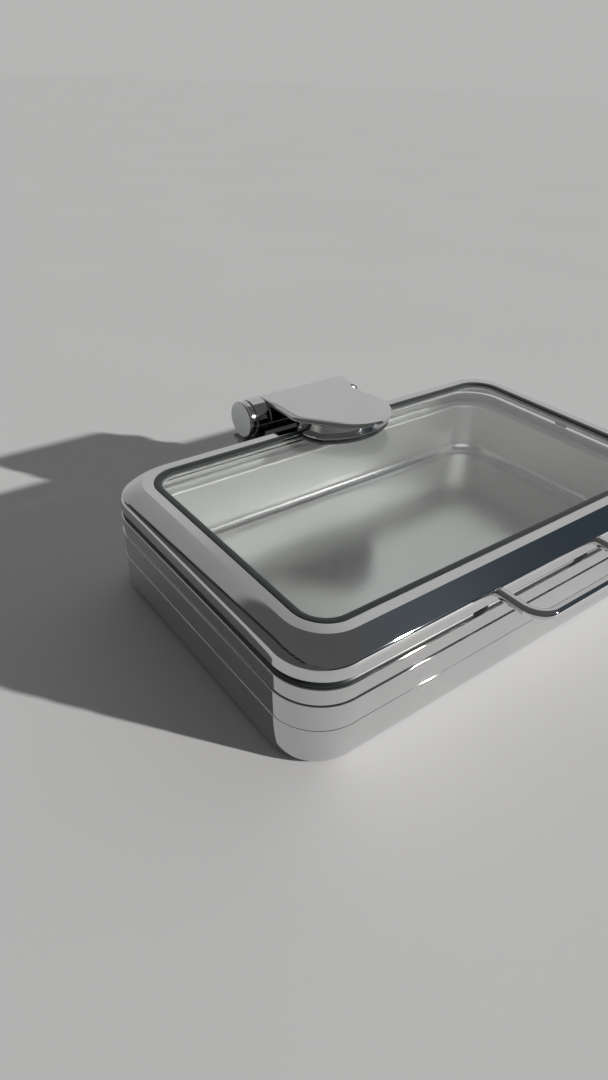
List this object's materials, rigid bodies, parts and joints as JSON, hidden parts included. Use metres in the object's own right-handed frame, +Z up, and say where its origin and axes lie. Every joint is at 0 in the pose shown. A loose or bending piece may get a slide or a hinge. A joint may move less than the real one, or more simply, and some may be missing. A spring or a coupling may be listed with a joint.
{
  "type": "chafing dish",
  "caption": "Low rectangular induction chafing dish: stepped polished-steel water pan, lift-out food pan and a glass lid on a damped barrel hinge, raised by a front bar handle.",
  "frame": {"origin": "centre of the base plate's underside, on the table", "axes": "+Z up, +X along the long side to the right seen from the front, -Y towards the front where the handle is"},
  "size_m": [0.56, 0.4513, 0.142],
  "materials": {
    "polished_steel": "mirror-polished stainless steel",
    "satin_steel": "satin stainless steel",
    "glass": "clear tempered glass, slightly green",
    "gasket_rubber": "smooth green-black silicone rubber",
    "dark_steel": "plain machined steel",
    "bronze": "sintered bronze",
    "damper_plastic": "moulded engineering plastic",
    "bumper_silicone": "translucent grey silicone"
  },
  "bodies": {
    "base": {"body_shell": "polished_steel", "base_plate": "dark_steel", "rim_seal": "gasket_rubber", "food_pan": "satin_steel", "hinge_bracket": "dark_steel", "bracket_backing": "dark_steel", "bracket_screws": "dark_steel", "damper_housing": "polished_steel", "housing_collar": "polished_steel", "housing_screws": "dark_steel", "end_cap": "satin_steel", "axle_bushes": "bronze"},
    "lid": {"lid_frame": "polished_steel", "lid_glass": "glass", "glass_gasket": "gasket_rubber", "glass_retainer": "polished_steel", "hinge_leaf": "polished_steel", "hinge_axle": "dark_steel", "axle_pin": "dark_steel", "axle_nut": "dark_steel", "damper_rotor": "damper_plastic", "clamp_body": "polished_steel", "clamp_pad_upper": "gasket_rubber", "clamp_pad_lower": "gasket_rubber", "clamp_plate": "polished_steel", "clamp_screws": "dark_steel", "lid_handle": "polished_steel", "handle_screws": "dark_steel", "handle_washers": "dark_steel", "lid_bumpers": "bumper_silicone"}
  },
  "joints": [
    {"name": "lid_hinge", "type": "hinge", "parent": "base", "child": "lid", "pos_m": [0, 0.2075, 0.1207], "axis": [-1, 0, 0], "range_deg": [0, 90]}
  ]
}
